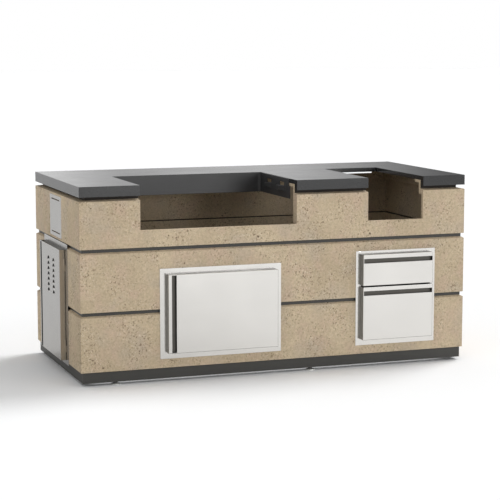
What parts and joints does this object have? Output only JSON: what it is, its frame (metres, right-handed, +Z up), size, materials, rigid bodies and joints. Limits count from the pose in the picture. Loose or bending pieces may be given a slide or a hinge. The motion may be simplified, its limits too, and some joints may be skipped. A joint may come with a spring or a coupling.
{
  "type": "outdoor kitchen island",
  "caption": "Outdoor kitchen island: cast stone walls with recessed bands, dark worktop with open notches for a grill and a burner, hinged access door, drawers and a vented end door.",
  "frame": {"origin": "on the floor, in the middle of the whole object's box, door and drawer fronts included", "axes": "+X along the island to the right seen from the front, +Y from the front to the rear, +Z up"},
  "size_m": [1.9536, 0.925, 0.9144],
  "materials": {
    "cast_stone": "matte sandblasted cast stone",
    "polished_worktop": "polished dark slab",
    "polished_stainless": "finely brushed stainless steel",
    "plain_steel": "dull stainless steel",
    "black_steel": "black powder coat",
    "dark_paint": "dark grey paint",
    "chromed_foot": "bright zinc plate",
    "black_plastic": "moulded"
  },
  "bodies": {
    "island": {"front_panel": "cast_stone", "right_panel": "cast_stone", "rear_panel": "cast_stone", "left_panel": "cast_stone", "gas_vent_plate": "polished_stainless", "access_frame": "polished_stainless", "access_hinge_pin_leaf_lower": "polished_stainless", "access_hinge_pin_leaf_upper": "polished_stainless", "access_magnet": "black_plastic", "vent_frame": "polished_stainless", "vent_hinge_pin_leaf_lower": "polished_stainless", "vent_hinge_pin_leaf_upper": "polished_stainless", "vent_magnet": "black_plastic", "drawer_frame": "polished_stainless", "drawer_carcass": "plain_steel", "upper_slide_left_fixed": "plain_steel", "upper_slide_right_fixed": "plain_steel", "lower_slide_left_fixed": "plain_steel", "lower_slide_right_fixed": "plain_steel", "worktop": "polished_worktop", "worktop_rail": "black_steel", "grill_hanger_band": "black_steel", "grill_hanger_arm_left": "black_steel", "grill_hanger_arm_right": "black_steel", "grill_hanger_lug_left_front": "black_steel", "grill_hanger_lug_left_rear": "black_steel", "grill_hanger_lug_right_front": "black_steel", "grill_hanger_lug_right_rear": "black_steel", "reveal_band_upper": "dark_paint", "reveal_band_lower_corner": "dark_paint", "reveal_band_lower_middle": "dark_paint", "reveal_band_lower_wrap": "dark_paint", "plinth": "dark_paint", "base_pan": "plain_steel", "levelling_foot_front_left": "chromed_foot", "levelling_foot_front_middle": "chromed_foot", "levelling_foot_rear_left": "chromed_foot", "levelling_foot_rear_middle": "chromed_foot", "levelling_foot_right_front": "chromed_foot", "levelling_foot_right_rear": "chromed_foot", "corner_angle_front_left": "plain_steel", "corner_angle_front_right": "plain_steel", "corner_angle_rear_left": "plain_steel", "corner_angle_rear_right": "plain_steel"},
    "access_door": {"access_door_skin": "polished_stainless", "access_door_liner": "plain_steel", "access_hinge_barrel_leaf_lower": "polished_stainless", "access_hinge_barrel_leaf_upper": "polished_stainless"},
    "vent_door": {"vent_door_skin": "polished_stainless", "vent_door_liner": "plain_steel", "vent_hinge_barrel_leaf_lower": "polished_stainless", "vent_hinge_barrel_leaf_upper": "polished_stainless"},
    "upper_drawer": {"upper_drawer_front": "polished_stainless", "upper_drawer_box": "plain_steel", "upper_slide_left_moving": "plain_steel", "upper_slide_right_moving": "plain_steel"},
    "lower_drawer": {"lower_drawer_front": "polished_stainless", "lower_drawer_box": "plain_steel", "lower_slide_left_moving": "plain_steel", "lower_slide_right_moving": "plain_steel"}
  },
  "joints": [
    {"name": "access_door_hinge", "type": "hinge", "parent": "island", "child": "access_door", "pos_m": [-0.00245, -0.4335, 0.319], "axis": [0, 0, 1], "range_deg": [0, 100]},
    {"name": "vent_door_hinge", "type": "hinge", "parent": "island", "child": "vent_door", "pos_m": [-0.95425, -0.1518, 0.337], "axis": [0, 0, 1], "range_deg": [0, 100]},
    {"name": "upper_drawer_slide", "type": "slide", "parent": "island", "child": "upper_drawer", "axis": [0, -1, 0], "range_m": [0, 0.34]},
    {"name": "lower_drawer_slide", "type": "slide", "parent": "island", "child": "lower_drawer", "axis": [0, -1, 0], "range_m": [0, 0.34]}
  ]
}
